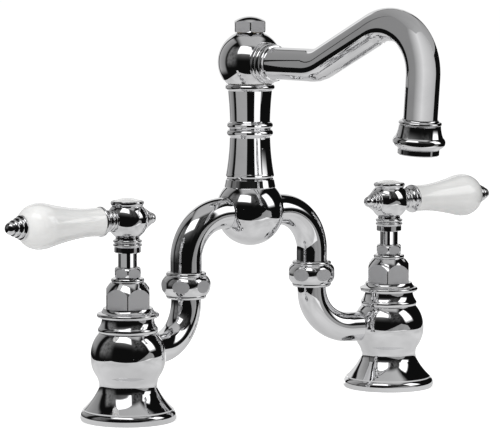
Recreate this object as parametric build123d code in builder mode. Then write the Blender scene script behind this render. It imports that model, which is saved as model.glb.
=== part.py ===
from build123d import *
import os
from math import cos, radians, sin, tan

os.makedirs("parts", exist_ok=True)

# Bridge kitchen faucet, in millimetres, +Z up. The origin lies on the deck plane, midway
# between the two feet. X runs along the bridge and the spout reaches towards -Y.

# plan of the bridge
valve_x = 203.2 / 2  # half of the 8 inch spacing of the taps
union_x = 49.0  # union nut axes, either side of the hub
hub_y = 13.1  # the legs swing forward, so the hub stands behind the line of the taps
elbow_z = 39.6  # axis of the lower elbows where they leave the taps
arm_z = 116.8  # axis of the upper arms where they leave the hub
sides = (("left", -1), ("right", 1))

# tubes
elbow_r, elbow_bend_r, elbow_socket = 9.25, 26.0, 16.5
arm_r, arm_bend_r, arm_socket = 9.65, 27.0, 13.5
spout_r = 9.84
tube_wall = 1.6
seam = 0.05  # radial gap between pieces that are screwed or brazed together

# tap body: a sphere on a trumpet foot, under a rounded flange
rim_r, rim_h = 28.7, 6.0
step_r, step_z = 26.7, 6.9
belly_r = 22.15
neck_r, flange_r = 15.6, 18.55
body_mouth_r, body_top_z = 14.7, 66.8
inlet_r, inlet_depth = 9.32, 14.0  # drilling for a half inch parallel thread
waterway_r = 6.0
chamber_r, chamber_foot_z, chamber_top_z = 13.0, 34.0, 52.0
bonnet_thread_r = 10.5
gasket_r, gasket_bore_r, gasket_h = 24.0, 15.0, 2.5

# ceramic headwork
skirt_r, skirt_bore_r, skirt_foot_z, skirt_top_z = 10.4, 8.6, 35.0, 51.2
disc_r, disc_foot_z, disc_h = 8.4, 36.2, 3.1
window_mid_r, window_width, window_arc = 4.5, 3.6, 52.0
port_z, port_width, port_h = 45.7, 7.0, 5.4  # water ports through the bonnet's skirt
spindle_r, spindle_waist_r = 5.67, 4.5
running_gap = 0.05  # between a turning piece and the bore that guides it
tongue_width, tongue_depth = 3.0, 1.2
square = 6.0  # square end of the spindle, inside the handle
bonnet_flats, bonnet_top_z = 25.4, 84.3
packing_flats, packing_foot_z, packing_top_z = 15.2, 84.5, 91.0
packing_thread_r, packing_seat_z, packing_ring_h = 7.1, 76.0, 3.0
bonnet_corner = {"left": 55.3, "right": 47.5}  # compass angle of one corner of each nut
packing_corner = {"left": 55.8, "right": 48.1}
union_corner = {"left": 10.5, "right": 53.5}
cap_corner = 53.8

# union nuts: a barrel between two lips, with six small flats
union_z, union_h, union_lip_h = 75.0, 16.0, 2.3
union_r, union_lip_r, union_flats = 15.05, 12.3, 28.2
union_thread_r = 11.6
union_seat_z = 74.0  # where the nose of the elbow meets the gasket
union_gasket_h, union_flange_h = 1.0, 2.4

# handles
handle_foot_z, lever_z, knob_r, knob_top_z = 99.5, 118.8, 12.3, 126.5
knob_seat = 10.44  # flats on the knob, under the lever and the finial
ring_r, ring_half_h, ring_levels = 8.6, 0.95, (104.1, 106.3)
index_r, index_insert_r, index_top_z = 9.9, 8.3, 131.8
rod_r, rod_start, rod_end = 3.0, 6.6, 80.0
screw_r, screw_head_r, screw_foot_z, screw_seat_z = 2.0, 3.6, 105.0, 121.6
grip_start, grip_end, grip_r, grip_centre = 20.0, 73.7, 13.45, 62.4
lever_tip, finial_tip = 84.9, 20.0

# centre column
bulb_r, collar_z, hub_top_z = 20.8, 132.1, 137.6
column_split_z, column_top_z = 167.6, 191.0
column_bore_r, spigot_r, spigot_length = 6.0, 8.0, 11.0
swivel_z, ball_r, ball_foot_z, ball_top_z = 208.4, 19.75, 195.7, 226.4
swivel_ring_r, swivel_ring_top_z = 15.23, 195.2
post_r, stud_r, stud_top_z = 7.95, 4.0, 232.5
o_ring_r, o_ring_levels = 0.9, (199.6, 218.6)
cap_foot_z, cap_edge_z, cap_top_z, cap_flats = 226.7, 232.8, 236.4, 18.5

# spout, in its own upright plane: reach from the axis of the column, and height
collar_seat, collar_end, tube_start = 15.2, 25.2, 17.2
rise = 24.1  # slope of the middle run, in degrees
crest_reach, crest_z = 127.5, 235.8
knee_reach, knee_z = 160.7, 227.0
lean = 4.9  # the outlet leans back towards the column, in degrees
spout_bends = (29.5, 33.0, 26.6)
outlet_z = 160.9
bell_foot, bell_seat, bell_top = 3.7, 14.5, 20.3  # heights above the outlet, along its axis
aerator_r, aerator_thread_r, aerator_bore_r = 11.95, 10.85, 9.4
mesh_pitch, mesh_hole_r, mesh_rings = 2.5, 0.9, 3


def level(z, x=0.0, y=0.0):
    """Horizontal sketch plane at one height, centred on an upright axis."""
    return Plane(origin=(x, y, z))


def upright(x, y=0.0):
    """Sketch plane through an upright axis: radius to the right, height up."""
    return Plane(origin=(x, y, 0), x_dir=(1, 0, 0), z_dir=(0, -1, 0))


def pillar(x, y=0.0):
    """The upright axis at one place in the plan."""
    return Axis((x, y, 0), (0, 0, 1))


def outward(side, z, x=0.0, y=0.0):
    """Upright sketch plane whose first direction runs along the bridge, off the hub."""
    return Plane(origin=(x, y, z), x_dir=(side, 0, 0), z_dir=(0, -side, 0))


def leg(side):
    """From the axis of a tap to the axis of its union nut."""
    return Vector(side * (union_x - valve_x), hub_y, 0)


def bead(inner_r, outer_r, low, high):
    """Half-round outline of a turned ring, from its foot to its top."""
    return ThreePointArc((inner_r, low), (outer_r, (low + high) / 2), (inner_r, high))


def crown(r, foot, top):
    """Half of a spherical cap, as radius and height: edge, a point halfway, and the top."""
    sphere_r = (r**2 + (top - foot) ** 2) / (2 * (top - foot))
    return (r, foot), (r / 2, top - sphere_r + (sphere_r**2 - r**2 / 4) ** 0.5), (0, top)


def bore(plane, r, depth):
    """Round hole from a plane, along its normal."""
    with BuildSketch(plane) as hole:
        Circle(r)
    extrude(hole.sketch, amount=depth, mode=Mode.SUBTRACT)


def cut_hexagon(plane, flats, corner, height):
    """Leave what stands inside a hexagonal prism."""
    with BuildSketch(plane) as hexagon:
        RegularPolygon(flats / 2, 6, major_radius=False, rotation=corner)
    extrude(hexagon.sketch, amount=height, mode=Mode.INTERSECT)


def save(piece, name):
    piece.part.label = name
    export_step(piece.part, f"parts/{name}.step")


# ---- taps ----


def make_base_gaskets():
    with BuildPart() as base_gaskets:
        with BuildSketch():
            with Locations((-valve_x, 0), (valve_x, 0)):
                Circle(gasket_r - seam)
                Circle(gasket_bore_r + seam, mode=Mode.SUBTRACT)
        extrude(amount=gasket_h)
    save(base_gaskets, "base_gaskets")


def make_valve_body(name, side):
    x = side * valve_x
    port = Plane(origin=(x, 0, elbow_z), z_dir=leg(side))
    with BuildPart() as valve_body:
        with BuildSketch(upright(x)):
            with BuildLine():
                Line((0, 0), (rim_r - 0.9, 0))
                ThreePointArc((rim_r - 0.9, 0), (rim_r, 2.6), (step_r + 0.5, rim_h))
                Polyline((step_r + 0.5, rim_h), (step_r, rim_h), (step_r, step_z))
                flare = ThreePointArc((step_r, step_z), (21.4, 12.7), (18.4, 17.5))
                waist = TangentArc(flare @ 1, (18.9, 26.5), tangent=flare % 1)
                belly = TangentArc(waist @ 1, (17.6, 51.65), tangent=waist % 1)
                Line(belly @ 1, (17.2, 52.1))
                bead(17.2, 17.95, 52.1, 55.5)
                Line((17.2, 55.5), (17.0, 55.8))
                ThreePointArc((17.0, 55.8), (15.95, 58.1), (neck_r, 60.8))
                Line((neck_r, 60.8), (flange_r - 1.2, 61.2))
                bead(flange_r - 1.2, flange_r, 61.2, 63.9)
                ThreePointArc((flange_r - 1.2, 63.9), (15.7, 64.9), (body_mouth_r, body_top_z))
                Line((body_mouth_r, body_top_z), (0, body_top_z))
                Line((0, body_top_z), (0, 0))
            make_face()
        revolve(axis=pillar(x))
        with BuildSketch(upright(x)):
            with BuildLine():
                Polyline(
                    (0, 0),
                    (inlet_r, 0),
                    (inlet_r, inlet_depth),
                    (waterway_r, inlet_depth),
                    (waterway_r, chamber_foot_z),
                    (chamber_r, chamber_foot_z),
                    (chamber_r, chamber_top_z),
                    (bonnet_thread_r, chamber_top_z + 3),
                    (bonnet_thread_r, body_top_z),
                    (0, body_top_z),
                    close=True,
                )
            make_face()
            with Locations(((gasket_r + gasket_bore_r) / 2, gasket_h / 2)):
                Rectangle(gasket_r - gasket_bore_r, gasket_h)
        revolve(axis=pillar(x), mode=Mode.SUBTRACT)
        bore(port, elbow_r - tube_wall, belly_r)
        bore(port.offset(elbow_socket), elbow_r + seam, belly_r)
    save(valve_body, f"{name}_valve_body")


def make_lower_elbow(name, side):
    reach = leg(side).length
    nose_h = union_seat_z - union_z + union_h / 2 - 0.6
    run = Plane(
        origin=(side * valve_x, 0, 0), x_dir=leg(side), z_dir=leg(side).cross(Vector(0, 0, 1))
    )
    with BuildPart() as lower_elbow:
        with BuildLine(run) as route:
            FilletPolyline(
                (elbow_socket, elbow_z),
                (reach, elbow_z),
                (reach, union_seat_z),
                radius=elbow_bend_r,
            )
        with BuildSketch(Plane(origin=route.line @ 0, z_dir=route.line % 0)):
            Circle(elbow_r)
            Circle(elbow_r - tube_wall, mode=Mode.SUBTRACT)
        sweep()
        with BuildSketch(level(union_seat_z, side * union_x, hub_y)):
            Circle(union_thread_r)
            Circle(elbow_r - tube_wall, mode=Mode.SUBTRACT)
        extrude(amount=-nose_h)
    save(lower_elbow, f"{name}_lower_elbow")


# ---- unions ----


def make_union_gaskets():
    with BuildPart() as union_gaskets:
        with BuildSketch(level(union_seat_z)):
            with Locations((-union_x, hub_y), (union_x, hub_y)):
                Circle(union_thread_r - 0.2)
                Circle(elbow_r - tube_wall, mode=Mode.SUBTRACT)
        extrude(amount=union_gasket_h)
    save(union_gaskets, "union_gaskets")


def make_union_nut(name, side):
    x = side * union_x
    foot_z, top_z = union_z - union_h / 2, union_z + union_h / 2
    shoulder_z = union_seat_z + union_gasket_h + union_flange_h
    barrel_r, barrel_half_h = union_lip_r + 0.4, union_h / 2 - union_lip_h
    with BuildPart() as union_nut:
        with BuildSketch(upright(x, hub_y)):
            with BuildLine():
                bead(barrel_r, union_r, union_z - barrel_half_h, union_z + barrel_half_h)
                for end_z, way in ((foot_z, 1), (top_z, -1)):
                    lip_z = end_z + way * union_lip_h
                    Line((0, end_z), (union_lip_r - 0.8, end_z))
                    ThreePointArc(
                        (union_lip_r - 0.8, end_z),
                        (union_lip_r, end_z + way * union_lip_h / 2),
                        (union_lip_r - 0.3, lip_z),
                    )
                    Line((union_lip_r - 0.3, lip_z), (barrel_r, lip_z))
                Line((0, top_z), (0, foot_z))
            make_face()
        revolve(axis=pillar(x, hub_y))
        cut_hexagon(level(foot_z, x, hub_y), union_flats, union_corner[name], union_h)
        bore(level(foot_z, x, hub_y), union_thread_r + seam, shoulder_z - foot_z)
        bore(level(foot_z, x, hub_y), arm_r + 2 * seam, union_h)
    save(union_nut, f"{name}_union_nut")


def make_upper_arm(name, side):
    foot_z = union_seat_z + union_gasket_h
    with BuildPart() as upper_arm:
        with BuildLine(outward(side, 0, y=hub_y)) as route:
            FilletPolyline(
                (arm_socket, arm_z), (union_x, arm_z), (union_x, foot_z), radius=arm_bend_r
            )
        with BuildSketch(Plane(origin=route.line @ 0, z_dir=route.line % 0)):
            Circle(arm_r)
            Circle(arm_r - tube_wall, mode=Mode.SUBTRACT)
        sweep()
        with BuildSketch(level(foot_z, side * union_x, hub_y)):
            Circle(union_thread_r - seam)
            Circle(arm_r - tube_wall, mode=Mode.SUBTRACT)
        extrude(amount=union_flange_h)
    save(upper_arm, f"{name}_upper_arm")


# ---- ceramic headworks ----


def make_seat_gaskets():
    with BuildPart() as seat_gaskets:
        with BuildSketch(level(chamber_foot_z)):
            with Locations((-valve_x, 0), (valve_x, 0)):
                Circle(disc_r)
                Circle(waterway_r + 0.3, mode=Mode.SUBTRACT)
        extrude(amount=disc_foot_z - chamber_foot_z)
    save(seat_gaskets, "seat_gaskets")


def make_disc(name, x, foot_z, turn, slotted):
    """Ceramic disc with two opposite water windows; the turning one is driven by a slot."""
    with BuildPart() as disc:
        with BuildSketch(level(foot_z, x)):
            Circle(disc_r)
            with PolarLocations(0, 2, start_angle=turn):
                track = CenterArc((0, 0), window_mid_r, -window_arc / 2, window_arc, mode=Mode.PRIVATE)
                SlotArc(track, window_width, mode=Mode.SUBTRACT)
        extrude(amount=disc_h)
        if slotted:
            with BuildSketch(level(foot_z + disc_h - tongue_depth, x)):
                Rectangle(tongue_width + 2 * seam, 3 * disc_r, rotation=turn)
            extrude(amount=tongue_depth, mode=Mode.SUBTRACT)
    save(disc, name)


def make_bonnet(name, side):
    x = side * valve_x
    wide_r = bonnet_flats / 2 + 2.2
    with BuildPart() as bonnet:
        with BuildSketch(upright(x)):
            with BuildLine():
                Polyline(
                    (0, skirt_foot_z),
                    (skirt_r, skirt_foot_z),
                    (skirt_r, body_top_z),
                    (wide_r, body_top_z),
                    (wide_r, 74.0),
                )
                ThreePointArc((wide_r, 74.0), (12.95, 78.3), (10.4, 81.8))
                Line((10.4, 81.8), (9.5, 82.1))
                bead(9.5, 9.9, 82.1, bonnet_top_z)
                Polyline((9.5, bonnet_top_z), (0, bonnet_top_z), (0, skirt_foot_z))
            make_face()
        revolve(axis=pillar(x))
        cut_hexagon(
            level(skirt_foot_z, x), bonnet_flats, bonnet_corner[name], bonnet_top_z - skirt_foot_z
        )
        bore(level(skirt_foot_z, x), skirt_bore_r, skirt_top_z - skirt_foot_z)
        bore(level(skirt_foot_z, x), spindle_r + running_gap, bonnet_top_z - skirt_foot_z)
        bore(level(packing_seat_z, x), packing_thread_r, bonnet_top_z - packing_seat_z)
        with Locations((x, 0, port_z)):
            Box(3 * skirt_r, port_width, port_h, mode=Mode.SUBTRACT)
            Box(port_width, 3 * skirt_r, port_h, mode=Mode.SUBTRACT)
    save(bonnet, f"{name}_bonnet")


def make_gland_packings():
    with BuildPart() as gland_packings:
        with BuildSketch(level(packing_seat_z)):
            with Locations((-valve_x, 0), (valve_x, 0)):
                Circle(packing_thread_r - seam)
                Circle(spindle_r + running_gap, mode=Mode.SUBTRACT)
        extrude(amount=packing_ring_h)
    save(gland_packings, "gland_packings")


def make_packing_nut(name, side):
    x = side * valve_x
    foot_z = packing_seat_z + packing_ring_h
    wide_r = packing_flats / 2 + 1.0
    with BuildPart() as packing_nut:
        with BuildSketch(upright(x)):
            with BuildLine():
                Polyline(
                    (0, foot_z),
                    (packing_thread_r - seam, foot_z),
                    (packing_thread_r - seam, packing_foot_z),
                )
                ThreePointArc(
                    (packing_thread_r - seam, packing_foot_z),
                    (wide_r, (packing_foot_z + packing_top_z) / 2),
                    (6.9, packing_top_z),
                )
                Polyline((6.9, packing_top_z), (0, packing_top_z), (0, foot_z))
            make_face()
        revolve(axis=pillar(x))
        cut_hexagon(level(foot_z, x), packing_flats, packing_corner[name], packing_top_z - foot_z)
        bore(level(foot_z, x), spindle_r + running_gap, packing_top_z - foot_z)
    save(packing_nut, f"{name}_packing_nut")


def make_spindle(name, side):
    x = side * valve_x
    disc_top_z = disc_foot_z + 2 * disc_h
    with BuildPart() as spindle:
        with BuildSketch(upright(x)):
            with BuildLine():
                Polyline(
                    (0, disc_top_z),
                    (spindle_waist_r, disc_top_z),
                    (spindle_waist_r, skirt_top_z - 2.2),
                    (skirt_bore_r - 2 * running_gap, skirt_top_z - 2.2),
                    (skirt_bore_r - 2 * running_gap, skirt_top_z - 0.1),
                    (spindle_r, skirt_top_z - 0.1),
                    (spindle_r, handle_foot_z),
                    (0, handle_foot_z),
                    close=True,
                )
            make_face()
        revolve(axis=pillar(x))
        with BuildSketch(level(disc_top_z + tongue_depth, x)):
            Rectangle(tongue_width, 2 * disc_r - 2.0)
        extrude(amount=-2 * tongue_depth + seam)
        with BuildSketch(level(handle_foot_z, x)):
            Rectangle(square, square)
        extrude(amount=screw_seat_z - handle_foot_z - 8)
        bore(level(screw_foot_z - 2, x), screw_r + seam, screw_seat_z)
    save(spindle, f"{name}_spindle")


# ---- handles ----


def make_handle_hub(name, side):
    x = side * valve_x
    with BuildPart() as handle_hub:
        with BuildSketch(upright(x)):
            with BuildLine():
                Polyline((0, handle_foot_z), (7.5, handle_foot_z), (7.9, handle_foot_z + 0.4))
                Polyline((7.9, handle_foot_z + 0.4), (7.9, 102.6), (7.5, ring_levels[0] - ring_half_h))
                bead(7.5, ring_r, ring_levels[0] - ring_half_h, ring_levels[0] + ring_half_h)
                Line(
                    (7.5, ring_levels[0] + ring_half_h), (7.5, ring_levels[1] - ring_half_h)
                )
                bead(7.5, ring_r, ring_levels[1] - ring_half_h, ring_levels[1] + ring_half_h)
                Polyline((7.5, ring_levels[1] + ring_half_h), (7.1, 107.7), (7.1, 108.76))
                ThreePointArc((7.1, 108.76), (knob_r, lever_z), (9.6, knob_top_z))
                Polyline((9.6, knob_top_z), (0, knob_top_z), (0, handle_foot_z))
            make_face()
        revolve(axis=pillar(x))
        with BuildSketch(level(handle_foot_z, x)):
            Rectangle(square + 2 * seam, square + 2 * seam)
        extrude(amount=screw_seat_z - handle_foot_z - 7, mode=Mode.SUBTRACT)
        bore(level(handle_foot_z, x), screw_r + 0.3, knob_top_z - handle_foot_z)
        bore(level(screw_seat_z, x), screw_head_r + 0.5, knob_top_z - screw_seat_z)
        bore(level(knob_top_z - 2.4, x), 7.05, 2.4)
        for way in (-1, 1):
            lever_hole = Plane(origin=(x, 0, lever_z), z_dir=(way, 0, 0))
            bore(lever_hole.offset(knob_seat), knob_r, knob_r)
            bore(lever_hole.offset(rod_start - 0.1), rod_r + seam, knob_r)
    save(handle_hub, f"{name}_handle_hub")


def make_handle_screw(name, side):
    x = side * valve_x
    with BuildPart() as handle_screw:
        with BuildSketch(level(screw_foot_z, x)):
            Circle(screw_r)
        extrude(amount=screw_seat_z - screw_foot_z)
        with BuildSketch(level(screw_seat_z, x)):
            Circle(screw_head_r)
        extrude(amount=2.2)
        with BuildSketch(level(screw_seat_z + 2.2, x)):
            Rectangle(0.9, 3 * screw_head_r)
        extrude(amount=-1.0, mode=Mode.SUBTRACT)
    save(handle_screw, f"{name}_handle_screw")


def make_index_ring(name, side):
    """Chromed ring that closes the knob and frames the plain porcelain button."""
    x = side * valve_x
    with BuildPart() as index_ring:
        with BuildSketch(upright(x)):
            with BuildLine():
                Polyline(
                    (0, knob_top_z - 2.3),
                    (7.0, knob_top_z - 2.3),
                    (7.0, knob_top_z),
                    (9.1, knob_top_z),
                    (9.3, knob_top_z + 0.8),
                )
                ThreePointArc((9.3, knob_top_z + 0.8), (index_r, 128.5), (9.7, 129.7))
                ThreePointArc((9.7, 129.7), (9.2, 130.1), (index_insert_r + 0.1, 129.9))
                Polyline(
                    (index_insert_r + 0.1, 129.9),
                    (index_insert_r + 0.1, 128.4),
                    (0, 128.4),
                    (0, knob_top_z - 2.3),
                )
            make_face()
        revolve(axis=pillar(x))
    save(index_ring, f"{name}_index_ring")


def make_index_button(name, side):
    x = side * valve_x
    with BuildPart() as index_button:
        with BuildSketch(upright(x)):
            with BuildLine():
                Polyline((0, index_top_z), (0, 128.4), (index_insert_r, 128.4))
                Line((index_insert_r, 128.4), (index_insert_r, 129.8))
                ThreePointArc(*crown(index_insert_r, 129.8, index_top_z))
            make_face()
        revolve(axis=pillar(x))
    save(index_button, f"{name}_index_button")


def make_hub_finial(name, side):
    """Stepped finial on the knob, opposite the lever."""
    lie = outward(-side, lever_z, x=side * valve_x)
    dome_start, dome_r = finial_tip - 4.2, 3.4
    with BuildPart() as hub_finial:
        with BuildSketch(lie):
            with BuildLine():
                Polyline((rod_start, 0), (rod_start, rod_r), (knob_seat, rod_r), (knob_seat, 6.4))
                ThreePointArc((knob_seat, 6.4), (11.0, 6.75), (11.7, 6.3))
                Line((11.7, 6.3), (11.9, 5.6))
                ThreePointArc((11.9, 5.6), (12.6, 5.75), (13.4, 5.2))
                Line((13.4, 5.2), (13.6, 4.6))
                ThreePointArc((13.6, 4.6), (14.4, 4.75), (15.2, 4.2))
                Line((15.2, 4.2), (15.4, 3.3))
                Line((15.4, 3.3), (dome_start, dome_r))
                ThreePointArc(*[(reach, r) for r, reach in crown(dome_r, dome_start, finial_tip)])
                Line((finial_tip, 0), (rod_start, 0))
            make_face()
        revolve(axis=Axis(lie.origin, lie.x_dir))
    save(hub_finial, f"{name}_hub_finial")


def make_lever_rod(name, side):
    with BuildPart() as lever_rod:
        axis = Plane(origin=(side * valve_x, 0, lever_z), z_dir=(side, 0, 0))
        with BuildSketch(axis.offset(rod_start)):
            Circle(rod_r)
        extrude(amount=rod_end - rod_start)
    save(lever_rod, f"{name}_lever_rod")


def make_lever_collar(name, side):
    lie = outward(side, lever_z, x=side * valve_x)
    hole_r = rod_r + seam
    with BuildPart() as lever_collar:
        with BuildSketch(lie):
            with BuildLine():
                Line((knob_seat, hole_r), (knob_seat, 5.6))
                ThreePointArc((knob_seat, 5.6), (11.4, 6.1), (12.4, 5.5))
                Line((12.4, 5.5), (12.8, 5.2))
                ThreePointArc((12.8, 5.2), (14.0, 6.5), (15.2, 5.4))
                Line((15.2, 5.4), (15.6, 5.4))
                ThreePointArc((15.6, 5.4), (17.0, 6.2), (17.9, 7.7))
                Line((17.9, 7.7), (18.3, 8.5))
                ThreePointArc((18.3, 8.5), (19.1, 8.95), (grip_start, 8.6))
                Polyline((grip_start, 8.6), (grip_start, hole_r), (knob_seat, hole_r))
            make_face()
        revolve(axis=Axis(lie.origin, lie.x_dir))
    save(lever_collar, f"{name}_lever_collar")


def make_grip(name, side):
    """Porcelain grip: slender at the collar, then a full bulb."""
    lie = outward(side, lever_z, x=side * valve_x)
    hole_r = rod_r + seam
    with BuildPart() as grip:
        with BuildSketch(lie):
            with BuildLine():
                Line((grip_start, hole_r), (grip_start, 8.2))
                ThreePointArc((grip_start, 8.2), (20.15, 8.4), (20.6, 8.5))
                swell = Spline(
                    (20.6, 8.5),
                    (28.0, 8.3),
                    (36.8, 9.0),
                    (46.8, 10.6),
                    (55.9, 12.6),
                    (grip_centre, grip_r),
                    tangents=((1, -0.05), (1, 0)),
                )
                ThreePointArc(
                    swell @ 1,
                    (
                        grip_centre + grip_r * sin(radians(30)),
                        grip_r * cos(radians(30)),
                    ),
                    (grip_end, (grip_r**2 - (grip_end - grip_centre) ** 2) ** 0.5),
                )
                Line((grip_end, (grip_r**2 - (grip_end - grip_centre) ** 2) ** 0.5), (grip_end, hole_r))
                Line((grip_end, hole_r), (grip_start, hole_r))
            make_face()
        revolve(axis=Axis(lie.origin, lie.x_dir))
    save(grip, f"{name}_grip")


def make_end_finial(name, side):
    """Stepped finial that is screwed on the rod and holds the grip."""
    lie = outward(side, lever_z, x=side * valve_x)
    dome_start, dome_r = lever_tip - 3.6, 3.85
    hole_r = rod_r + seam
    with BuildPart() as end_finial:
        with BuildSketch(lie):
            with BuildLine():
                Line((grip_end, hole_r), (grip_end, 7.1))
                ThreePointArc((grip_end, 7.1), (74.3, 7.3), (75.3, 6.9))
                Line((75.3, 6.9), (75.5, 6.0))
                ThreePointArc((75.5, 6.0), (76.4, 6.2), (77.8, 5.6))
                Line((77.8, 5.6), (78.0, 4.8))
                ThreePointArc((78.0, 4.8), (79.1, 5.05), (80.6, 4.4))
                Line((80.6, 4.4), (80.8, 3.7))
                Line((80.8, 3.7), (dome_start, dome_r))
                ThreePointArc(*[(reach, r) for r, reach in crown(dome_r, dome_start, lever_tip)])
                Polyline((lever_tip, 0), (rod_end, 0), (rod_end, hole_r), (grip_end, hole_r))
            make_face()
        revolve(axis=Axis(lie.origin, lie.x_dir))
    save(end_finial, f"{name}_end_finial")


# ---- centre column ----


def make_hub():
    with BuildPart() as hub:
        with BuildSketch(upright(0, hub_y)):
            with BuildLine():
                low = (0, arm_z - bulb_r)
                slant = bulb_r * cos(radians(45))
                ThreePointArc(low, (slant, arm_z - slant), (bulb_r, arm_z))
                ThreePointArc((bulb_r, arm_z), (19.5, 125.3), (15.6, collar_z - 0.4))
                Polyline((15.6, collar_z - 0.4), (15.8, collar_z), (14.9, 136.5), (14.4, 136.9))
                Polyline((14.4, 136.9), (14.4, hub_top_z), (0, hub_top_z), low)
            make_face()
        revolve(axis=pillar(0, hub_y))
        for way in (-1, 1):
            arm_hole = Plane(origin=(0, hub_y, arm_z), z_dir=(way, 0, 0))
            bore(arm_hole, arm_r - tube_wall, bulb_r)
            bore(arm_hole.offset(arm_socket), arm_r + seam, bulb_r)
        bore(level(arm_z, y=hub_y), column_bore_r, hub_top_z - arm_z)
        bore(level(hub_top_z - spigot_length, y=hub_y), spigot_r + seam, spigot_length)
    save(hub, "hub")


def make_lower_column():
    with BuildPart() as lower_column:
        with BuildSketch(upright(0, hub_y)):
            with BuildLine():
                Polyline(
                    (column_bore_r, hub_top_z - spigot_length + 0.5),
                    (spigot_r, hub_top_z - spigot_length + 0.5),
                    (spigot_r, hub_top_z),
                    (14.2, hub_top_z),
                )
                ThreePointArc((14.2, hub_top_z), (14.9, 138.9), (14.7, 140.3))
                ThreePointArc((14.7, 140.3), (13.25, 150.5), (12.5, 161.6))
                Polyline((12.5, 161.6), (12.4, 162.4), (12.8, 163.0))
                bead(12.8, 14.28, 163.0, 167.4)
                Polyline(
                    (12.8, 167.4),
                    (12.6, column_split_z),
                    (spigot_r - 0.5 + seam, column_split_z),
                    (spigot_r - 0.5 + seam, column_split_z - spigot_length),
                    (column_bore_r, column_split_z - spigot_length),
                    (column_bore_r, hub_top_z - spigot_length + 0.5),
                )
            make_face()
        revolve(axis=pillar(0, hub_y))
    save(lower_column, "lower_column")


def make_upper_column():
    with BuildPart() as upper_column:
        with BuildSketch(upright(0, hub_y)):
            with BuildLine():
                Polyline(
                    (column_bore_r, column_split_z - spigot_length + 0.5),
                    (spigot_r - 0.5, column_split_z - spigot_length + 0.5),
                    (spigot_r - 0.5, column_split_z),
                    (12.6, column_split_z),
                    (12.7, 167.8),
                )
                bead(12.7, 14.15, 167.8, 171.9)
                Polyline((12.7, 171.9), (12.35, 172.5), (12.4, 173.6))
                ThreePointArc((12.4, 173.6), (12.85, 182.5), (13.6, column_top_z))
                Polyline(
                    (13.6, column_top_z),
                    (spigot_r + seam, column_top_z),
                    (spigot_r + seam, column_top_z - spigot_length),
                    (column_bore_r, column_top_z - spigot_length),
                    (column_bore_r, column_split_z - spigot_length + 0.5),
                )
            make_face()
        revolve(axis=pillar(0, hub_y))
    save(upper_column, "upper_column")


def make_swivel_ring():
    with BuildPart() as swivel_ring:
        with BuildSketch(upright(0, hub_y)):
            with BuildLine():
                Polyline((spigot_r + seam, column_top_z), (13.7, column_top_z), (14.3, 191.5))
                bead(14.3, swivel_ring_r, 191.5, 194.9)
                Polyline(
                    (14.3, 194.9),
                    (13.9, swivel_ring_top_z),
                    (spigot_r + seam, swivel_ring_top_z),
                    (spigot_r + seam, column_top_z),
                )
            make_face()
        revolve(axis=pillar(0, hub_y))
    save(swivel_ring, "swivel_ring")


def make_swivel_washer():
    with BuildPart() as swivel_washer:
        with BuildSketch(level(swivel_ring_top_z, y=hub_y)):
            Circle(13.5)
            Circle(spigot_r + 0.2, mode=Mode.SUBTRACT)
        extrude(amount=ball_foot_z - swivel_ring_top_z - 0.05)
    save(swivel_washer, "swivel_washer")


def make_swivel_post():
    """Hollow post that the ball turns on; water leaves it through four cross holes."""
    foot_z = column_top_z - spigot_length + 0.5
    with BuildPart() as swivel_post:
        with BuildSketch(upright(0, hub_y)):
            with BuildLine():
                Polyline(
                    (0, foot_z),
                    (post_r, foot_z),
                    (post_r, cap_foot_z),
                    (stud_r, cap_foot_z),
                    (stud_r, stud_top_z),
                    (0, stud_top_z),
                    close=True,
                )
            make_face()
            for groove_z in o_ring_levels:
                with Locations((post_r, groove_z)):
                    Rectangle(4 * o_ring_r, 2 * o_ring_r + 0.2, mode=Mode.SUBTRACT)
        revolve(axis=pillar(0, hub_y))
        bore(level(foot_z, y=hub_y), column_bore_r - 0.6, swivel_z + 5 - foot_z)
        for turn in range(0, 360, 90):
            way = (cos(radians(turn)), sin(radians(turn)), 0)
            bore(Plane(origin=(0, hub_y, swivel_z), z_dir=way), 3.5, ball_r)
    save(swivel_post, "swivel_post")


def make_swivel_o_rings():
    with BuildPart() as swivel_o_rings:
        with BuildSketch(upright(0, hub_y)):
            for groove_z in o_ring_levels:
                with Locations((post_r - o_ring_r, groove_z)):
                    Circle(o_ring_r - 0.02)
        revolve(axis=pillar(0, hub_y))
    save(swivel_o_rings, "swivel_o_rings")


def make_cap_nut():
    """Domed hexagon nut that holds the ball down on its post."""
    wide_r = cap_flats / 2 + 1.35
    with BuildPart() as cap_nut:
        with BuildSketch(upright(0, hub_y)):
            with BuildLine():
                Polyline((0, cap_foot_z), (9.6, cap_foot_z), (wide_r, 227.6), (wide_r, cap_edge_z))
                ThreePointArc(*crown(wide_r, cap_edge_z, cap_top_z))
                Line((0, cap_top_z), (0, cap_foot_z))
            make_face()
        revolve(axis=pillar(0, hub_y))
        cut_hexagon(level(cap_foot_z, y=hub_y), cap_flats, cap_corner, cap_top_z - cap_foot_z)
        bore(level(cap_foot_z, y=hub_y), stud_r + seam, stud_top_z + 0.5 - cap_foot_z)
    save(cap_nut, "cap_nut")


# ---- spout ----

spout_axis = Plane(origin=(0, hub_y, swivel_z), z_dir=(0, -1, 0))
spout_plane = Plane(origin=(0, hub_y, 0), x_dir=(0, -1, 0), z_dir=(-1, 0, 0))
outlet_reach = knee_reach - (knee_z - outlet_z) * tan(radians(lean))
outlet_up = (0, -sin(radians(lean)), cos(radians(lean)))
outlet_plane = Plane(
    origin=(0, hub_y - outlet_reach, outlet_z),
    x_dir=(0, -cos(radians(lean)), -sin(radians(lean))),
    z_dir=(-1, 0, 0),
)
outlet_axis = Axis(outlet_plane.origin, outlet_up)


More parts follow.
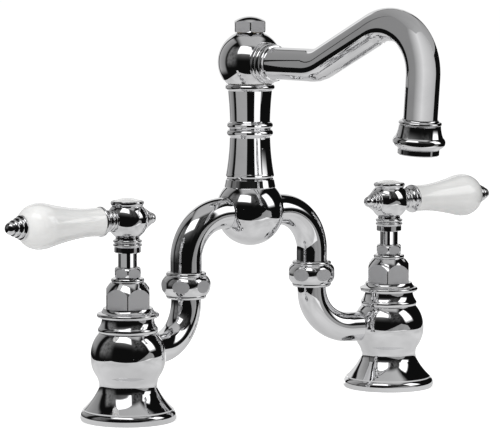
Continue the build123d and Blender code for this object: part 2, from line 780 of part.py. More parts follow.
def make_swivel_ball():
    foot_r = (ball_r**2 - (swivel_z - ball_foot_z) ** 2) ** 0.5
    top_r = (ball_r**2 - (ball_top_z - swivel_z) ** 2) ** 0.5
    with BuildPart() as swivel_ball:
        with BuildSketch(upright(0, hub_y)):
            with BuildLine():
                Line((0, ball_foot_z), (foot_r, ball_foot_z))
                ThreePointArc((foot_r, ball_foot_z), (ball_r, swivel_z), (top_r, ball_top_z))
                Polyline((top_r, ball_top_z), (0, ball_top_z), (0, ball_foot_z))
            make_face()
        revolve(axis=pillar(0, hub_y))
        bore(level(ball_foot_z, y=hub_y), post_r + running_gap, ball_top_z - ball_foot_z)
        bore(level(swivel_z - 4.2, y=hub_y), post_r + 2.5, 8.4)
        bore(spout_axis, 6.6, ball_r)
        bore(spout_axis.offset(collar_seat - 4.5), spigot_r + seam, ball_r)
        bore(spout_axis.offset(collar_seat), ball_r, ball_r)
    save(swivel_ball, "swivel_ball")


def make_spout_collar():
    lie = Plane(origin=(0, hub_y, swivel_z), x_dir=(0, -1, 0), z_dir=(-1, 0, 0))
    with BuildPart() as spout_collar:
        with BuildSketch(lie):
            with BuildLine():
                Polyline((collar_seat - 4.3, 6.6), (collar_seat - 4.3, spigot_r), (collar_seat, spigot_r))
                Line((collar_seat, spigot_r), (collar_seat, 12.1))
                ThreePointArc((collar_seat, 12.1), (16.6, 12.4), (18.0, 11.9))
                Line((18.0, 11.9), (18.3, 11.5))
                ThreePointArc((18.3, 11.5), (19.6, 12.0), (21.0, 11.4))
                Line((21.0, 11.4), (21.3, 10.9))
                ThreePointArc((21.3, 10.9), (23.2, 11.4), (24.9, 10.8))
                Polyline(
                    (24.9, 10.8),
                    (collar_end, spout_r + seam),
                    (tube_start, spout_r + seam),
                    (tube_start, 6.6),
                    (collar_seat - 4.3, 6.6),
                )
            make_face()
        revolve(axis=Axis(lie.origin, lie.x_dir))
    save(spout_collar, "spout_collar")


def make_spout_tube():
    """Swan-neck tube: out of the ball, up to the crest, and down into the bell."""
    start_reach = crest_reach - (crest_z - swivel_z) / tan(radians(rise))
    end_reach = outlet_reach + bell_seat * sin(radians(lean))
    end_z = outlet_z + bell_seat * cos(radians(lean))
    with BuildPart() as spout_tube:
        with BuildLine(spout_plane) as route:
            FilletPolyline(
                (tube_start, swivel_z),
                (start_reach, swivel_z),
                (crest_reach, crest_z),
                (knee_reach, knee_z),
                (end_reach, end_z),
                radius=spout_bends,
            )
        with BuildSketch(Plane(origin=route.line @ 0, z_dir=route.line % 0)):
            Circle(spout_r)
            Circle(spout_r - tube_wall, mode=Mode.SUBTRACT)
        sweep()
    save(spout_tube, "spout_tube")


def make_outlet_bell():
    bore_r = spout_r - tube_wall
    with BuildPart() as outlet_bell:
        with BuildSketch(outlet_plane):
            with BuildLine():
                Line((aerator_thread_r + seam, bell_foot), (12.3, bell_foot))
                Line((12.3, bell_foot), (13.4, 4.6))
                ThreePointArc((13.4, 4.6), (15.1, 7.5), (13.9, 10.0))
                Line((13.9, 10.0), (13.6, 10.3))
                ThreePointArc((13.6, 10.3), (12.55, 13.4), (12.0, 16.8))
                Polyline((12.0, 16.8), (11.7, 17.0), (11.7, 17.2), (12.1, 17.4))
                ThreePointArc((12.1, 17.4), (12.3, 18.3), (11.7, 19.1))
                ThreePointArc((11.7, 19.1), (10.7, 19.4), (10.3, bell_top))
                Polyline(
                    (10.3, bell_top),
                    (spout_r + seam, bell_top),
                    (spout_r + seam, bell_seat),
                    (bore_r, bell_seat),
                    (bore_r, 9.0),
                    (aerator_thread_r + seam, 9.0),
                    (aerator_thread_r + seam, bell_foot),
                )
            make_face()
        revolve(axis=outlet_axis)
    save(outlet_bell, "outlet_bell")


def make_aerator_housing():
    with BuildPart() as aerator_housing:
        with BuildSketch(outlet_plane):
            with BuildLine():
                Polyline(
                    (aerator_bore_r, 1.2),
                    (aerator_bore_r - 0.6, 0),
                    (aerator_r - 0.5, 0),
                    (aerator_r, 0.5),
                    (aerator_r, bell_foot - 0.4),
                    (aerator_r - 0.4, bell_foot),
                    (aerator_thread_r, bell_foot),
                    (aerator_thread_r, 8.6),
                    (aerator_bore_r, 8.6),
                    close=True,
                )
            make_face()
        revolve(axis=outlet_axis)
    save(aerator_housing, "aerator_housing")


def make_aerator_insert():
    """Flow straightener: a round plate with rings of small holes."""
    plate = Plane(origin=outlet_plane.origin, z_dir=outlet_up)
    with BuildPart() as aerator_insert:
        with BuildSketch(plate.offset(1.25)):
            Circle(aerator_bore_r - seam)
            Circle(mesh_hole_r, mode=Mode.SUBTRACT)
            for ring in range(1, mesh_rings + 1):
                with PolarLocations(ring * mesh_pitch, 6 * ring):
                    Circle(mesh_hole_r, mode=Mode.SUBTRACT)
        extrude(amount=2.0)
    save(aerator_insert, "aerator_insert")


make_base_gaskets()
make_union_gaskets()
make_seat_gaskets()
make_gland_packings()
for name, side in sides:
    x = side * valve_x
    make_valve_body(name, side)
    make_lower_elbow(name, side)
    make_union_nut(name, side)
    make_upper_arm(name, side)
    make_bonnet(name, side)
    make_disc(f"{name}_fixed_disc", x, disc_foot_z, 90, False)
    make_disc(f"{name}_turning_disc", x, disc_foot_z + disc_h, 0, True)
    make_packing_nut(name, side)
    make_spindle(name, side)
    make_handle_hub(name, side)
    make_handle_screw(name, side)
    make_index_ring(name, side)
    make_index_button(name, side)
    make_hub_finial(name, side)
    make_lever_rod(name, side)
    make_lever_collar(name, side)
    make_grip(name, side)
    make_end_finial(name, side)
make_hub()
make_lower_column()
make_upper_column()
make_swivel_ring()
make_swivel_washer()
make_swivel_post()
make_swivel_o_rings()
make_cap_nut()
make_swivel_ball()
make_spout_collar()
make_spout_tube()
make_outlet_bell()
make_aerator_housing()
make_aerator_insert()
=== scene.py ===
import math

import bpy
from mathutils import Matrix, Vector


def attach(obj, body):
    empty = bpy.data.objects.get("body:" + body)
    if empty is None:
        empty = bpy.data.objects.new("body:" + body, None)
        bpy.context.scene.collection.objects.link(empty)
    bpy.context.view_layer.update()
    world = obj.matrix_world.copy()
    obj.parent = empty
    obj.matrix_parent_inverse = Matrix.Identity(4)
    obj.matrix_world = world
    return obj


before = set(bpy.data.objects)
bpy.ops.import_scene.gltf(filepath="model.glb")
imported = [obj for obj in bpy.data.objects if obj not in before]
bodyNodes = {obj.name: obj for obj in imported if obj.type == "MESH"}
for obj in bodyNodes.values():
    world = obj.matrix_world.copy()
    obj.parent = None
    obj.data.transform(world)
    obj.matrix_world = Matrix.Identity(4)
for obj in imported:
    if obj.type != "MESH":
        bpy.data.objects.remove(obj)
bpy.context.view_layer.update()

scene = bpy.context.scene
scene.view_settings.view_transform = "Standard"

mm = 0.001
tapAcross, unionAcross, columnBack = 101.6, 49.0, 13.1  # mm, from the middle of the bridge
viewAzimuth = -38.0  # the side from which the photograph was taken
print("frame loaded:", len(bodyNodes), "nodes")

cameraSetup = {
    "place": (-1.0160, -1.2869, 0.2758),
    "turn": (84.353, 0.0, -38.01),  # degrees
    "lens": 194.2,
    "sensor": 36.0,
}
bpy.ops.object.camera_add(
    location=cameraSetup["place"], rotation=[math.radians(a) for a in cameraSetup["turn"]]
)
camera = bpy.context.object
camera.name = "photoCamera"
camera.data.lens = cameraSetup["lens"]
camera.data.sensor_width = cameraSetup["sensor"]
camera.data.clip_start = 0.05
camera.data.clip_end = 60.0
scene.camera = camera
print("camera set")


def setOrLink(links, socket, value):  # a bare number is set, a node's output is linked
    if isinstance(value, (int, float)):
        socket.default_value = value
    else:
        links.new(value, socket)


def addMath(nodes, links, operation, *values):
    node = nodes.new("ShaderNodeMath")
    node.operation = operation
    for socket, value in zip(node.inputs, values):
        setOrLink(links, socket, value)
    return node.outputs[0]


def addRange(nodes, links, value, low, high, toLow, toHigh, smooth=True):
    node = nodes.new("ShaderNodeMapRange")
    node.interpolation_type = "SMOOTHSTEP" if smooth else "LINEAR"
    ends = {"Value": value, "From Min": low, "From Max": high, "To Min": toLow, "To Max": toHigh}
    for label, end in ends.items():
        setOrLink(links, node.inputs[label], end)
    return node.outputs["Result"]


def addNoise(nodes, links, place, scale, detail, roughness):
    node = nodes.new("ShaderNodeTexNoise")
    for label, value in (("Scale", scale), ("Detail", detail), ("Roughness", roughness)):
        setOrLink(links, node.inputs[label], value)
    links.new(place, node.inputs["Vector"])
    return node.outputs["Fac"]


def splitAxes(nodes, links, vector):
    node = nodes.new("ShaderNodeSeparateXYZ")
    links.new(vector, node.inputs[0])
    return node.outputs


def startMaterial(name):
    material = bpy.data.materials.new(name)
    material.use_nodes = True
    nodes, links = material.node_tree.nodes, material.node_tree.links
    return material, nodes, links, nodes["Principled BSDF"]


# The studio. Places are given as the camera sees them: metres to its right, towards it, and up.
studio = {
    "backdrop": 1.0,
    "skyLight": 0.50,  # what reaches matt surfaces from all round
    "floorColour": (0.86, 0.86, 0.86),
    "floorLift": 0.60,  # brings the lit floor up to white for the camera
    "floorSize": 24.0,
    "roomRadius": 7.0,
    "roomLevel": 0.005,
    "blotchScale": 7.0,
}


def wayFromObject(around, up):  # degrees round from the camera to its right, and degrees up
    around, up = math.radians(around + viewAzimuth), math.radians(up)
    return Vector((math.sin(around) * math.cos(up), -math.cos(around) * math.cos(up), math.sin(up)))


toCamera, toRight = wayFromObject(0, 0), wayFromObject(90, 0)


def studioPlace(right, ahead, up):
    return toRight * right + toCamera * ahead + Vector((0, 0, up))


def makeWorld():
    world = bpy.data.worlds.new("studioRoom")
    scene.world = world
    world.use_nodes = True
    nodes, links = world.node_tree.nodes, world.node_tree.links
    nodes.clear()
    rays = nodes.new("ShaderNodeLightPath").outputs
    seen = addMath(nodes, links, "MAXIMUM", rays["Is Camera Ray"], rays["Is Transmission Ray"])
    seen = addMath(nodes, links, "MAXIMUM", seen, rays["Is Glossy Ray"])
    strength = addRange(nodes, links, seen, 0, 1, studio["skyLight"], studio["backdrop"], smooth=False)
    backdrop = nodes.new("ShaderNodeBackground")
    backdrop.inputs["Color"].default_value = (1, 1, 1, 1)
    links.new(strength, backdrop.inputs["Strength"])
    out = nodes.new("ShaderNodeOutputWorld")
    links.new(backdrop.outputs["Background"], out.inputs["Surface"])


def makeFloor():
    bpy.ops.mesh.primitive_plane_add(size=studio["floorSize"])
    floor = bpy.context.object
    floor.name = "studioFloor"
    material, nodes, links, shader = startMaterial("floorPaint")
    shader.inputs["Base Color"].default_value = (*studio["floorColour"], 1)
    shader.inputs["Roughness"].default_value = 1.0
    shader.inputs["Specular IOR Level"].default_value = 0.0
    shader.inputs["Emission Color"].default_value = (1, 1, 1, 1)
    rays = nodes.new("ShaderNodeLightPath").outputs
    lift = addMath(nodes, links, "MULTIPLY", rays["Is Camera Ray"], studio["floorLift"])
    links.new(lift, shader.inputs["Emission Strength"])
    floor.data.materials.append(material)
    floor.visible_glossy = False  # the polished metal sees the cards below instead


# Cards that only the polished metal sees: each has its corners, from the lower left round to the
# upper left, its brightness at the left and right edge, how much of its edges fades out, and how
# uneven it is. Where only some pieces mirror a card, or some don't, it names them.
columns = ("lower_column", "upper_column", "left_spindle", "right_spindle")
spoutBend = ("spout_tube",)
bulb = ("hub",)
cards = {
    "lightTable": {
        "corners": ((-0.27, 0.235, 0), (0.38, 0.235, 0), (0.38, -0.9, 0), (-0.27, -0.9, 0)),
        "levels": (0.66, 0.66),
        "uneven": 0.22,
    },
    "windowBox": {
        "corners": ((-0.46, 0.33, 0.47), (0.09, 0.55, 0.47), (0.10, 0.49, 0.95), (-0.44, 0.27, 0.95)),
        "levels": (1.6, 1.6),
        "fade": 0.14,
        "hiddenFrom": spoutBend + bulb,
    },
    "bulbWindowBox": {
        "corners": ((-0.42, 0.35, 0.375), (0.05, 0.54, 0.375), (0.06, 0.49, 0.75), (-0.40, 0.30, 0.75)),
        "levels": (1.6, 1.6),
        "fade": 0.14,
        "mirroredBy": bulb,
    },
    "windowGlow": {
        "corners": ((-0.70, 0.25, 0.25), (0.30, 0.66, 0.25), (0.30, 0.58, 1.1), (-0.66, 0.19, 1.1)),
        "levels": (0.26, 0.26),
        "fade": 0.5,
        "hiddenFrom": spoutBend,
    },
    "stripBox": {
        "corners": ((0.60, 0.30, 0.17), (0.70, -0.10, 0.17), (0.74, 0.00, 0.92), (0.56, 0.44, 0.92)),
        "levels": (1.7, 1.7),
        "fade": 0.2,
        "hiddenFrom": spoutBend,
    },
    "curledPaper": {
        "corners": ((0.01, 0.237, 0.0), (0.52, 0.08, 0.0), (0.42, 0.12, 0.09), (0.29, 0.19, 0.125)),
        "levels": (0.28, 0.36),
        "uneven": 0.25,
    },
    "ceilingBoard": {
        "corners": ((-0.7, 0.75, 1.25), (0.8, 0.75, 1.25), (0.8, -0.8, 1.25), (-0.7, -0.8, 1.25)),
        "levels": (0.42, 0.52),
        "fade": 0.2,
        "hiddenFrom": spoutBend,
    },
    "leftHaze": {
        "corners": ((-1.20, -0.10, -0.1), (-0.70, 0.75, -0.1), (-0.70, 0.75, 1.4), (-1.20, -0.10, 1.4)),
        "levels": (0.24, 0.05),
        "fade": 0.3,
        "uneven": 0.5,
        "hiddenFrom": spoutBend + columns,
    },
    "rightHaze": {
        "corners": ((0.10, 0.90, 0.22), (0.85, 0.42, 0.22), (0.85, 0.42, 1.5), (0.10, 0.90, 1.5)),
        "levels": (0.07, 0.12),
        "fade": 0.4,
        "uneven": 1.0,
        "hiddenFrom": spoutBend + columns,
    },
    "leftWall": {
        "corners": ((-0.40, -0.52, 0.0), (-0.367, -0.02, 0.0), (-0.367, -0.02, 0.80), (-0.40, -0.52, 0.80)),
        "levels": (0.46, 0.22),
        "fade": 0.14,
        "hiddenFrom": spoutBend,
    },
    "spoutFarBox": {
        "corners": ((-0.40, -0.90, 0.18), (-0.40, -0.10, 0.18), (-0.40, -0.10, 0.9), (-0.40, -0.90, 0.9)),
        "levels": (0.34, 0.27),
        "mirroredBy": spoutBend,
    },
    "spoutRightBox": {
        "corners": ((0.578, 0.12, 0.40), (0.50, -0.90, 0.40), (0.50, -0.90, 0.9), (0.50, 0.10, 0.9)),
        "levels": (0.42, 0.30),
        "mirroredBy": spoutBend,
    },
    "spoutRoofBack": {
        "corners": ((-0.40, -0.90, 0.9), (0.50, -0.90, 0.9), (0.50, 0.10, 0.9), (-0.40, -0.10, 0.9)),
        "levels": (0.30, 0.42),
        "mirroredBy": spoutBend,
    },
    "spoutRoofFront": {
        "corners": ((-0.40, -0.10, 0.9), (0.50, 0.10, 0.9), (0.08, 0.45, 0.9), (-0.30, 0.35, 0.9)),
        "levels": (0.30, 0.44),
        "mirroredBy": spoutBend,
    },
    "backWall": {
        "corners": ((0.5, -1.3, -0.3), (-0.75, -1.15, -0.3), (-0.75, -1.15, 1.1), (0.5, -1.3, 1.1)),
        "levels": (0.75, 0.75),
        "fade": 0.12,
    },
    "columnGreyBox": {
        "corners": ((-0.495, 0.07, -0.1), (-0.146, 0.478, -0.1), (-0.146, 0.478, 0.4), (-0.495, 0.07, 0.4)),
        "levels": (0.36, 0.40),
        "fade": 0.01,
        "mirroredBy": columns,
    },
    "columnWhiteBox": {
        "corners": ((0.195, 0.46, -0.1), (0.429, 0.257, -0.1), (0.429, 0.257, 0.4), (0.195, 0.46, 0.4)),
        "levels": (1.2, 1.2),
        "fade": 0.04,
        "mirroredBy": columns,
    },
    "spoutGreyBox": {
        "corners": ((-0.48, -0.10, 0.10), (-0.30, 0.35, 0.10), (-0.30, 0.35, 0.9), (-0.40, -0.10, 0.9)),
        "levels": (0.26, 0.27),
        "mirroredBy": spoutBend,
    },
    "spoutMiddleBox": {
        "corners": ((-0.30, 0.35, 0.10), (0.08, 0.60, 0.02), (0.08, 0.45, 0.9), (-0.30, 0.35, 0.9)),
        "levels": (0.27, 0.78),
        "mirroredBy": spoutBend,
    },
    "spoutLightBox": {
        "corners": ((0.08, 0.60, 0.02), (0.578, 0.12, 0.02), (0.50, 0.10, 0.9), (0.08, 0.45, 0.9)),
        "levels": (0.78, 0.45),
        "mirroredBy": spoutBend,
    },
}


def hideFromAllButGloss(obj):
    obj.visible_camera = False
    obj.visible_diffuse = False
    obj.visible_shadow = False
    obj.visible_transmission = False


def cardMaterial(name, card):
    material, nodes, links, _ = startMaterial(name + "Paint")
    nodes.clear()  # a card only glows
    place = nodes.new("ShaderNodeTexCoord").outputs
    across = splitAxes(nodes, links, place["UV"])
    strength = addRange(nodes, links, across["X"], 0, 1, *card["levels"], smooth=False)
    if "uneven" in card:
        blotches = addNoise(nodes, links, place["Object"], studio["blotchScale"], 3.0, 0.5)
        least, most = 1 - card["uneven"], 1 + card["uneven"] * 0.5
        change = addRange(nodes, links, blotches, 0.3, 0.7, least, most, smooth=False)
        strength = addMath(nodes, links, "MULTIPLY", strength, change)
    if "fade" in card:
        for axis in ("X", "Y"):
            fromEdge = addMath(nodes, links, "PINGPONG", across[axis], 0.5)
            ramp = addRange(nodes, links, fromEdge, 0, card["fade"], 0, 1)
            strength = addMath(nodes, links, "MULTIPLY", strength, ramp)
    glow = nodes.new("ShaderNodeEmission")
    glow.inputs["Color"].default_value = (1, 1, 1, 1)
    links.new(strength, glow.inputs["Strength"])
    clear = nodes.new("ShaderNodeBsdfTransparent")
    both = nodes.new("ShaderNodeAddShader")
    links.new(clear.outputs[0], both.inputs[0])
    links.new(glow.outputs[0], both.inputs[1])
    out = nodes.new("ShaderNodeOutputMaterial")
    links.new(both.outputs[0], out.inputs["Surface"])
    return material


def linkMirrors(obj, card):
    if "mirroredBy" not in card and "hiddenFrom" not in card:
        return
    seenBy = card.get("mirroredBy") or [n for n in bodyNodes if n not in card["hiddenFrom"]]
    group = bpy.data.collections.new(obj.name + "Mirrors")
    for node in seenBy:
        group.objects.link(bodyNodes[node])
    obj.light_linking.receiver_collection = group


def makeCards():
    for name, card in cards.items():
        bpy.ops.mesh.primitive_plane_add(size=1)
        obj = bpy.context.object
        obj.name = name
        for vertex in obj.data.vertices:  # the plane's four corners go to the card's
            corner = (2 if vertex.co.x > 0 else 3) if vertex.co.y > 0 else (1 if vertex.co.x > 0 else 0)
            vertex.co = studioPlace(*card["corners"][corner])
        bpy.ops.object.mode_set(mode="EDIT")
        bpy.ops.mesh.select_all(action="SELECT")
        bpy.ops.mesh.subdivide(number_cuts=7)
        bpy.ops.object.mode_set(mode="OBJECT")
        obj.data.materials.append(cardMaterial(name, card))
        hideFromAllButGloss(obj)
        linkMirrors(obj, card)
    bpy.ops.mesh.primitive_uv_sphere_add(segments=48, ring_count=24, radius=studio["roomRadius"])
    room = bpy.context.object
    room.name = "darkRoom"
    paint, _, _, shader = startMaterial("darkRoomPaint")
    shader.inputs["Base Color"].default_value = (0, 0, 0, 1)
    shader.inputs["Specular IOR Level"].default_value = 0
    shader.inputs["Emission Color"].default_value = (1, 1, 1, 1)
    shader.inputs["Emission Strength"].default_value = studio["roomLevel"]
    room.data.materials.append(paint)
    hideFromAllButGloss(room)


lamps = {
    "keyLamp": {"around": -30, "up": 48, "distance": 2.2, "size": 1.4, "power": 22.0},
    "fillLamp": {"around": 60, "up": 30, "distance": 2.4, "size": 1.6, "power": 6.0},
}


def makeLamps():
    for name, lamp in lamps.items():
        way = wayFromObject(lamp["around"], lamp["up"])
        bpy.ops.object.light_add(type="AREA", location=way * lamp["distance"])
        obj = bpy.context.object
        obj.name = name
        obj.rotation_euler = way.to_track_quat("Z", "Y").to_euler()
        obj.data.size = lamp["size"]
        obj.data.energy = lamp["power"]
        obj.visible_glossy = False
        obj.visible_camera = False


makeWorld()
makeFloor()
makeCards()
makeLamps()
print("studio built")


def newGroup(name, inputs, outputs):
    group = bpy.data.node_groups.new(name, "ShaderNodeTree")
    for label, kind, value in inputs:
        socket = group.interface.new_socket(name=label, in_out="INPUT", socket_type=kind)
        socket.default_value = value
    for label, kind in outputs:
        group.interface.new_socket(name=label, in_out="OUTPUT", socket_type=kind)
    nodes = group.nodes
    return group, nodes, group.links, nodes.new("NodeGroupInput"), nodes.new("NodeGroupOutput")


# what hands, a cloth and dust leave on the plate and the glaze
wear = {
    "smearNoise": (0.46, 0.72),  # where a smear begins and where it is full
    "dustScale": 260.0,
    "dustEdge": (0.05, 0.11),
    "dustShare": 0.14,
}


def makeHandlingMarks():
    # broad smears, single specks of dust, and the faint ripple that buffing leaves
    group, nodes, links, given, out = newGroup(
        "handlingMarks",
        (("Smear Size", "NodeSocketFloat", 38.0), ("Ripple Size", "NodeSocketFloat", 55.0)),
        (("Smear", "NodeSocketFloat"), ("Ripple", "NodeSocketFloat"), ("Specks", "NodeSocketFloat")),
    )
    place = nodes.new("ShaderNodeTexCoord").outputs["Object"]
    smear = addNoise(nodes, links, place, given.outputs["Smear Size"], 5.0, 0.62)
    links.new(addRange(nodes, links, smear, *wear["smearNoise"], 0, 1), out.inputs["Smear"])
    ripple = addNoise(nodes, links, place, given.outputs["Ripple Size"], 1.0, 0.4)
    links.new(ripple, out.inputs["Ripple"])
    dust = nodes.new("ShaderNodeTexVoronoi")
    dust.inputs["Scale"].default_value = wear["dustScale"]
    links.new(place, dust.inputs["Vector"])
    near = addRange(nodes, links, dust.outputs["Distance"], *wear["dustEdge"], 1, 0)
    pick = nodes.new("ShaderNodeSeparateColor")
    links.new(dust.outputs["Color"], pick.inputs["Color"])
    chosen = addMath(nodes, links, "GREATER_THAN", pick.outputs[0], 1 - wear["dustShare"])
    links.new(addMath(nodes, links, "MULTIPLY", near, chosen), out.inputs["Specks"])
    return group


# Both angles are read as the cosine of six turns: 1 on a corner of the nut, -1 in the middle of a flat.
nutFlats = {
    "facing": (-0.985, -0.96),  # how squarely a face looks along its flat's middle
    "upright": (0.012, 0.03),
    "cornerHighlightLine": (0.955, 0.985),  # the painted grey stops short of each corner, leaving a thin line of bright plate there as a painted highlight
    "grindMarks": (90.0, 90.0, 2600.0),
}


def makeWrenchFlats():
    # the six flats of a nut, found from the angle of a corner and from its axis, foot and top
    group, nodes, links, given, out = newGroup(
        "wrenchFlats",
        (
            ("Corner", "NodeSocketFloat", 0.0),
            ("Axis", "NodeSocketVector", (0.0, 0.0, 0.0)),
            ("Foot", "NodeSocketFloat", 0.0),
            ("Top", "NodeSocketFloat", 1.0),
        ),
        (("Flats", "NodeSocketFloat"), ("Grain", "NodeSocketFloat")),
    )

    def sixTurns(vector):
        angle = addMath(nodes, links, "ARCTAN2", vector["Y"], vector["X"])
        angle = addMath(nodes, links, "SUBTRACT", angle, given.outputs["Corner"])
        return addMath(nodes, links, "COSINE", addMath(nodes, links, "MULTIPLY", angle, 6.0))

    coords = nodes.new("ShaderNodeTexCoord").outputs
    face = splitAxes(nodes, links, coords["Normal"])
    facing = addRange(nodes, links, sixTurns(face), *nutFlats["facing"], 1, 0)
    tilt = addMath(nodes, links, "ABSOLUTE", face["Z"])
    upright = addRange(nodes, links, tilt, *nutFlats["upright"], 1, 0)
    fromAxis = nodes.new("ShaderNodeVectorMath")
    fromAxis.operation = "SUBTRACT"
    links.new(coords["Object"], fromAxis.inputs[0])
    links.new(given.outputs["Axis"], fromAxis.inputs[1])
    place = splitAxes(nodes, links, fromAxis.outputs[0])
    # keeps the painted grey off the corners, so a thin line of bright plate stands in for the highlight
    # along each one
    offCorner = addRange(nodes, links, sixTurns(place), *nutFlats["cornerHighlightLine"], 1, 0)
    above = addMath(nodes, links, "GREATER_THAN", place["Z"], given.outputs["Foot"])
    below = addMath(nodes, links, "LESS_THAN", place["Z"], given.outputs["Top"])
    mask = upright
    for part in (facing, offCorner, above, below):
        mask = addMath(nodes, links, "MULTIPLY", mask, part)
    links.new(mask, out.inputs["Flats"])
    mapping = nodes.new("ShaderNodeMapping")
    mapping.inputs["Scale"].default_value = nutFlats["grindMarks"]
    links.new(coords["Object"], mapping.inputs["Vector"])
    links.new(addNoise(nodes, links, mapping.outputs[0], 1.0, 3.0, 0.6), out.inputs["Grain"])
    return group


latheMarks = {"breakUp": 20.0, "stainScale": 120.0}


def makeTurnedGrain():
    # fine lathe rings about an upright axis, broken a little round the piece
    group, nodes, links, given, out = newGroup(
        "turnedGrain",
        (("Rings", "NodeSocketFloat", 2200.0),),
        (("Grain", "NodeSocketFloat"), ("Stain", "NodeSocketFloat")),
    )
    place = nodes.new("ShaderNodeTexCoord").outputs["Object"]
    split = splitAxes(nodes, links, place)
    tall = nodes.new("ShaderNodeCombineXYZ")
    scales = {"X": latheMarks["breakUp"], "Y": latheMarks["breakUp"], "Z": given.outputs["Rings"]}
    for axis, scale in scales.items():
        links.new(addMath(nodes, links, "MULTIPLY", split[axis], scale), tall.inputs[axis])
    links.new(addNoise(nodes, links, tall.outputs[0], 1.0, 4.0, 0.6), out.inputs["Grain"])
    links.new(addNoise(nodes, links, place, latheMarks["stainScale"], 4.0, 0.6), out.inputs["Stain"])
    return group


handlingMarks = makeHandlingMarks()
wrenchFlats = makeWrenchFlats()
turnedGrain = makeTurnedGrain()
print("node groups made")


def placeGroup(nodes, group, values):
    node = nodes.new("ShaderNodeGroup")
    node.node_tree = group
    for label, value in values.items():
        node.inputs[label].default_value = value
    return node.outputs


def mixColours(nodes, links, amount, first, second):
    mix = nodes.new("ShaderNodeMix")
    mix.data_type = "RGBA"
    for label, colour in (("A", first), ("B", second)):
        if isinstance(colour, tuple):
            mix.inputs[label].default_value = (*colour, 1)
        else:
            links.new(colour, mix.inputs[label])
    links.new(amount, mix.inputs["Factor"])
    return mix.outputs["Result"]


def addBump(nodes, links, shader, height, distance):
    bump = nodes.new("ShaderNodeBump")
    bump.inputs["Strength"].default_value = 1.0
    bump.inputs["Distance"].default_value = distance
    links.new(height, bump.inputs["Height"])
    links.new(bump.outputs["Normal"], shader.inputs["Normal"])


chromePlate = {
    "clean": (0.86, 0.86, 0.87),
    "smeared": (0.80, 0.80, 0.81),
    # painted reflection: the flats' darker grey and lower metallic stand in for the even grey reflection
    # they show
    "flats": (0.46, 0.46, 0.47),
    "flatsMetallic": 0.35,
    "gloss": (0.018, 0.060),  # roughness where clean and where smeared
    "flatsRoughness": (0.34, 0.46),
    "dustRoughness": 0.3,
    "dustHeight": 0.8,  # these two against the ripple's height
    "grindHeight": 0.6,
    "ripple": 0.010 * mm,
}


def chromeMaterial(name, nut=None):
    # polished plate; a nut also gets satin-ground flats, painted a darker, less metallic grey that stands
    # in for the even grey reflection they show
    material, nodes, links, shader = startMaterial(name)
    marks = placeGroup(nodes, handlingMarks, {})
    colour = mixColours(nodes, links, marks["Smear"], chromePlate["clean"], chromePlate["smeared"])
    rough = addRange(nodes, links, marks["Smear"], 0, 1, *chromePlate["gloss"])
    dust = addMath(nodes, links, "MULTIPLY", marks["Specks"], chromePlate["dustRoughness"])
    rough = addMath(nodes, links, "ADD", rough, dust)
    dust = addMath(nodes, links, "MULTIPLY", marks["Specks"], chromePlate["dustHeight"])
    height = addMath(nodes, links, "SUBTRACT", marks["Ripple"], dust)
    shader.inputs["Metallic"].default_value = 1.0
    if nut:
        corner, axisX, axisY, foot, top = nut
        flats = placeGroup(nodes, wrenchFlats, {
            "Corner": math.radians(corner),
            "Axis": (axisX * mm, axisY * mm, 0.0),
            "Foot": foot * mm,
            "Top": top * mm,
        })
        # the flats get the painted grey that stands in for their reflection
        colour = mixColours(nodes, links, flats["Flats"], colour, chromePlate["flats"])
        satin = addRange(nodes, links, flats["Grain"], 0.3, 0.7, *chromePlate["flatsRoughness"])
        rough = addRange(nodes, links, flats["Flats"], 0, 1, rough, satin, smooth=False)
        grind = addMath(nodes, links, "MULTIPLY", flats["Grain"], chromePlate["grindHeight"])
        grind = addMath(nodes, links, "MULTIPLY", flats["Flats"], grind)
        height = addMath(nodes, links, "ADD", height, grind)
        # and are made less metallic, so lamp and sky light them to that painted grey
        plate = addRange(nodes, links, flats["Flats"], 0, 1, 1.0, chromePlate["flatsMetallic"])
        links.new(plate, shader.inputs["Metallic"])
    links.new(colour, shader.inputs["Base Color"])
    links.new(rough, shader.inputs["Roughness"])
    addBump(nodes, links, shader, height, chromePlate["ripple"])
    return material


porcelainGlaze = {
    "body": (0.93, 0.93, 0.92),
    "shade": (0.90, 0.90, 0.89),
    "marks": {"Smear Size": 60.0, "Ripple Size": 90.0},
    "gloss": (0.015, 0.05),
    "glaze": 0.7,
    "glazeRoughness": 0.02,
    "indexOfRefraction": 1.54,
    "glow": 0.10,  # share of the light that goes a little way into the body
    "glowColour": (1.0, 0.95, 0.9),
    "glowDepth": 1.2 * mm,
    "waver": 0.03 * mm,
}


def porcelainMaterial():
    material, nodes, links, shader = startMaterial("whitePorcelain")
    marks = placeGroup(nodes, handlingMarks, porcelainGlaze["marks"])
    mottle = addRange(nodes, links, marks["Ripple"], 0.35, 0.65, 0, 1)
    colour = mixColours(nodes, links, mottle, porcelainGlaze["body"], porcelainGlaze["shade"])
    rough = addRange(nodes, links, marks["Smear"], 0, 1, *porcelainGlaze["gloss"])
    links.new(colour, shader.inputs["Base Color"])
    links.new(rough, shader.inputs["Roughness"])
    shader.inputs["IOR"].default_value = porcelainGlaze["indexOfRefraction"]
    shader.inputs["Coat Weight"].default_value = porcelainGlaze["glaze"]
    shader.inputs["Coat Roughness"].default_value = porcelainGlaze["glazeRoughness"]
    shader.inputs["Subsurface Weight"].default_value = porcelainGlaze["glow"]
    shader.inputs["Subsurface Radius"].default_value = porcelainGlaze["glowColour"]
    shader.inputs["Subsurface Scale"].default_value = porcelainGlaze["glowDepth"]
    addBump(nodes, links, shader, marks["Ripple"], porcelainGlaze["waver"])
    return material


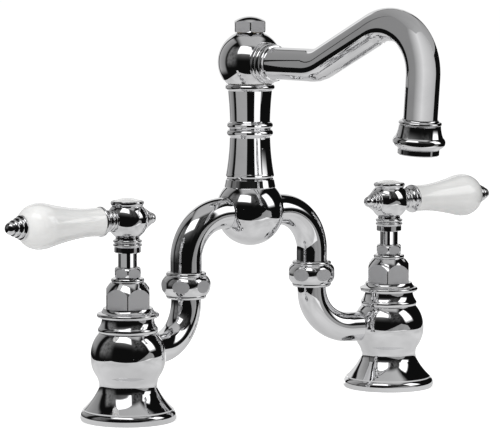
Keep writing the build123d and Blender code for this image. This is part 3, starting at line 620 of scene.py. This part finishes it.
# Turned and moulded stock, by the record's slot: the material's name, its clean and its stained
# colour, metallic, roughness from and to, lathe rings per metre, and their height in mm.
turnedStock = {
    "disc_ceramic": (
        "lappedAlumina", (0.90, 0.88, 0.83), (0.80, 0.77, 0.70), 0.0, (0.10, 0.24), 900.0, 0.002),
    "brass": (
        "turnedBrass", (0.80, 0.60, 0.30), (0.62, 0.43, 0.19), 1.0, (0.20, 0.42), 2400.0, 0.012),
    "steel": (
        "screwSteel", (0.66, 0.66, 0.67), (0.50, 0.50, 0.52), 1.0, (0.22, 0.42), 2600.0, 0.010),
    "black_rubber": (
        "sealRubber", (0.022, 0.022, 0.024), (0.045, 0.045, 0.047), 0.0, (0.48, 0.72), 700.0, 0.02),
    "white_washer": (
        "slipWasher", (0.86, 0.86, 0.83), (0.78, 0.77, 0.73), 0.0, (0.30, 0.48), 1300.0, 0.008),
    "insert_plastic": (
        "insertPlastic", (0.52, 0.52, 0.54), (0.42, 0.42, 0.44), 0.0, (0.34, 0.52), 800.0, 0.015),
}


def turnedMaterial(name, clean, stained, metallic, gloss, rings, depth):
    material, nodes, links, shader = startMaterial(name)
    grain = placeGroup(nodes, turnedGrain, {"Rings": rings})
    stain = addRange(nodes, links, grain["Stain"], 0.35, 0.68, 0, 1)
    rough = addRange(nodes, links, grain["Grain"], 0.3, 0.7, *gloss)
    links.new(mixColours(nodes, links, stain, clean, stained), shader.inputs["Base Color"])
    links.new(rough, shader.inputs["Roughness"])
    shader.inputs["Metallic"].default_value = metallic
    addBump(nodes, links, shader, grain["Grain"], depth * mm)
    return material


finishes = {"chrome": chromeMaterial("polishedChrome"), "porcelain": porcelainMaterial()}
for slotName, stock in turnedStock.items():
    finishes[slotName] = turnedMaterial(*stock)

# nuts whose satin flats are painted a grey that stands in for their reflection: angle of one corner in
# degrees, axis x and y, foot and top in mm
nuts = {
    "left_bonnet": (55.3, -tapAcross, 0, 60.0, 90.0),
    "right_bonnet": (47.5, tapAcross, 0, 60.0, 90.0),
    "left_packing_nut": (55.8, -tapAcross, 0, 80.0, 95.0),
    "right_packing_nut": (48.1, tapAcross, 0, 80.0, 95.0),
    "left_union_nut": (10.5, -unionAcross, columnBack, 60.0, 90.0),
    "right_union_nut": (53.5, unionAcross, columnBack, 60.0, 90.0),
    "cap_nut": (53.8, 0, columnBack, 226.0, 240.0),
}
for nodeName, node in bodyNodes.items():
    for slot in node.material_slots:
        slot.material = finishes[slot.material.name.split(".")[0]]
    if nodeName in nuts:
        node.material_slots[0].material = chromeMaterial(nodeName + "Chrome", nuts[nodeName])
print("finishes assigned")


# rounds of solder where the arms enter the bulb and where the elbows leave the tap bodies, in mm
solder = {
    "bulbAcross": 18.5,
    "bulbHeight": 116.8,
    "bulbRound": (9.75, 0.45),  # radius of the round and of its bead
    "tapOut": 20.2,
    "tapHeight": 39.6,
    "tapRound": (9.35, 0.5),
}


def addSolderRound(name, place, way, sizes):
    bpy.ops.object.select_all(action="DESELECT")
    bpy.ops.mesh.primitive_torus_add(
        major_segments=96,
        minor_segments=16,
        major_radius=sizes[0] * mm,
        minor_radius=sizes[1] * mm,
        location=[c * mm for c in place],
        rotation=Vector(way).to_track_quat("Z", "Y").to_euler(),
    )
    obj = bpy.context.object
    obj.name = name
    bpy.ops.object.transform_apply(location=True, rotation=True, scale=True)
    bpy.ops.object.shade_smooth()
    obj.data.materials.append(finishes["chrome"])
    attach(obj, "bridge")


for sideName, side in (("left", -1), ("right", 1)):
    bulbPlace = (side * solder["bulbAcross"], columnBack, solder["bulbHeight"])
    addSolderRound(sideName + "BulbSolder", bulbPlace, (1, 0, 0), solder["bulbRound"])
    legWay = Vector((side * (unionAcross - tapAcross), columnBack, 0)).normalized()
    legStart = Vector((side * tapAcross, 0, solder["tapHeight"])) + legWay * solder["tapOut"]
    addSolderRound(sideName + "TapSolder", legStart, legWay, solder["tapRound"])
print("solder rounds added")
